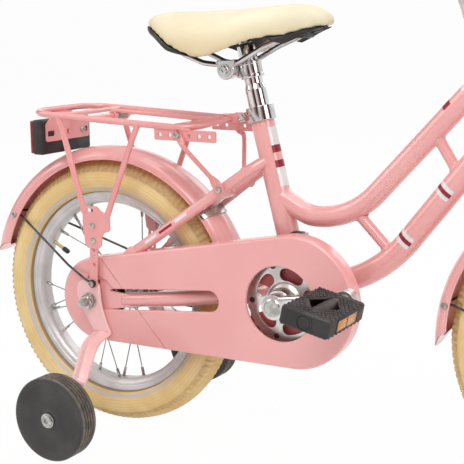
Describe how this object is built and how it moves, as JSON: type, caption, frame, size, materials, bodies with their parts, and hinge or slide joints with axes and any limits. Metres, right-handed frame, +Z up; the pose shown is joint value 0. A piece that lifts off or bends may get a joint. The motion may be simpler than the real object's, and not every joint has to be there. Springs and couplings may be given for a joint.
{
  "type": "kids bike",
  "caption": "Child's bicycle with stabilisers, curved low frame, enclosed chaincase, mudguards, sprung rear rack, riser handlebar and padded saddle",
  "frame": {"origin": "on the ground, in the middle of the bike's length and width", "axes": "+X forward towards the front wheel, +Y to the rider's left, +Z up"},
  "size_m": [1.0098, 0.4784, 0.7014],
  "materials": {
    "black_plastic": "moulded",
    "black_rubber": "matt",
    "chrome": "polished",
    "crank_alloy": "satin",
    "cream_rubber": "moulded",
    "cream_vinyl": "padded, stitched",
    "dark_steel": "dark",
    "pink_paint": "gloss paint",
    "red_lens": "clear red",
    "rim_alloy": "satin",
    "steel": "zinc plated",
    "tan_rubber": "matt rubber"
  },
  "bodies": {
    "frame": {"main_frame": "pink_paint", "chainstays": "pink_paint", "seatstays": "pink_paint", "headset_cup_upper": "steel", "headset_cup_lower": "steel", "chaincase_outer": "pink_paint", "chaincase_rear_cap": "pink_paint", "chaincase_inner": "pink_paint", "chain": "dark_steel", "rear_axle": "steel", "coaster_arm": "dark_steel", "stabiliser_bracket_right": "pink_paint", "stabiliser_bracket_left": "pink_paint", "rear_mudguard": "pink_paint", "rear_mudguard_stay": "dark_steel", "rack_deck": "pink_paint", "rack_leg_right": "pink_paint", "rack_leg_left": "pink_paint", "rack_strap_right": "pink_paint", "rack_strap_left": "pink_paint", "rack_strut_right": "pink_paint", "rack_strut_left": "pink_paint", "rear_reflector_housing": "black_plastic", "rear_reflector_lens": "red_lens", "seat_clamp": "steel"},
    "rack_clip": {"clip_wire": "pink_paint", "clip_spring": "steel"},
    "post": {"seat_post": "chrome", "saddle_clamp": "steel"},
    "saddle": {"saddle_rails": "steel", "saddle_base": "black_plastic", "saddle_pad": "cream_vinyl"},
    "crank": {"crank_axle": "dark_steel", "chainring": "crank_alloy", "crank_arm_right": "crank_alloy", "crank_arm_left": "crank_alloy"},
    "pedal_r": {"pedal_right": "black_plastic"},
    "pedal_l": {"pedal_left": "black_plastic"},
    "rear_wheel": {"rear_tyre": "tan_rubber", "rear_rim": "rim_alloy", "rear_hub": "steel", "sprocket": "dark_steel"},
    "steering": {"fork": "pink_paint", "stem": "steel", "handlebar": "chrome", "grip_right": "cream_rubber", "grip_left": "cream_rubber", "brake_lever_mount": "black_plastic", "brake_cable": "black_rubber", "front_axle": "steel", "front_mudguard": "pink_paint", "front_mudguard_stay": "steel"},
    "lever": {"brake_lever": "crank_alloy"},
    "arm_r": {"brake_arm_right": "crank_alloy"},
    "arm_l": {"brake_arm_left": "crank_alloy"},
    "front_wheel": {"front_tyre": "tan_rubber", "front_rim": "rim_alloy", "front_hub": "steel"},
    "stabiliser_r": {"stabiliser_wheel_right": "black_rubber"},
    "stabiliser_l": {"stabiliser_wheel_left": "black_rubber"}
  },
  "joints": [
    {"name": "steering_turn", "type": "hinge", "parent": "frame", "child": "steering", "pos_m": [0.22243, 0, 0.39896], "axis": [-0.342, 0, 0.9397], "range_deg": [-55, 55]},
    {"name": "front_wheel_spin", "type": "hinge", "parent": "steering", "child": "front_wheel", "pos_m": [0.33091, 0, 0.174], "axis": [0, 1, 0], "continuous": true},
    {"name": "crank_turn", "type": "hinge", "parent": "frame", "child": "crank", "pos_m": [-0.03709, 0, 0.1996], "axis": [0, 1, 0], "continuous": true},
    {"name": "pedal_right_spin", "type": "hinge", "parent": "crank", "child": "pedal_r", "pos_m": [0.06218, 0, 0.22307], "axis": [0, 1, 0], "continuous": true},
    {"name": "pedal_left_spin", "type": "hinge", "parent": "crank", "child": "pedal_l", "pos_m": [-0.13635, 0, 0.17614], "axis": [0, 1, 0], "continuous": true},
    {"name": "rear_wheel_spin", "type": "hinge", "parent": "frame", "child": "rear_wheel", "pos_m": [-0.30909, 0, 0.174], "axis": [0, 1, 0], "continuous": true},
    {"name": "seat_height", "type": "slide", "parent": "frame", "child": "post", "axis": [-0.2436, 0, 0.9699], "range_m": [-0.01, 0.05]},
    {"name": "saddle_tilt", "type": "hinge", "parent": "post", "child": "saddle", "pos_m": [-0.12696, 0, 0.46903], "axis": [0, 1, 0], "range_deg": [-8, 8]},
    {"name": "rack_clip_lift", "type": "hinge", "parent": "frame", "child": "rack_clip", "pos_m": [-0.30009, 0, 0.40744], "axis": [0, -1, 0], "range_deg": [0, 28], "stiffness_Nm_per_rad": 0.6, "springref_deg": -28.65},
    {"name": "brake_lever_pull", "type": "hinge", "parent": "steering", "child": "lever", "pos_m": [0.17692, -0.15797, 0.68394], "axis": [0, 0.0328, -0.9995], "range_deg": [0, 14], "stiffness_Nm_per_rad": 0.8, "springref_deg": -14.32},
    {"name": "brake_arm_right_close", "type": "hinge", "parent": "steering", "child": "arm_r", "pos_m": [0.24741, 0, 0.38294], "axis": [0.9397, 0, 0.342], "range_deg": [0, 1]},
    {"name": "brake_arm_left_close", "type": "hinge", "parent": "steering", "child": "arm_l", "pos_m": [0.25145, 0, 0.38441], "axis": [0.9397, 0, 0.342], "range_deg": [-1, 0]},
    {"name": "stabiliser_right_spin", "type": "hinge", "parent": "frame", "child": "stabiliser_r", "pos_m": [-0.28459, -0.1665, 0.0575], "axis": [0, 1, 0], "continuous": true},
    {"name": "stabiliser_left_spin", "type": "hinge", "parent": "frame", "child": "stabiliser_l", "pos_m": [-0.28459, 0.1665, 0.0575], "axis": [0, 1, 0], "continuous": true}
  ],
  "couplings": [
    {"joint": "rear_wheel_spin", "follows": "crank_turn", "ratio": 1.75},
    {"joint": "brake_arm_right_close", "follows": "brake_lever_pull", "ratio": 0.071429},
    {"joint": "brake_arm_left_close", "follows": "brake_lever_pull", "ratio": -0.071429}
  ]
}
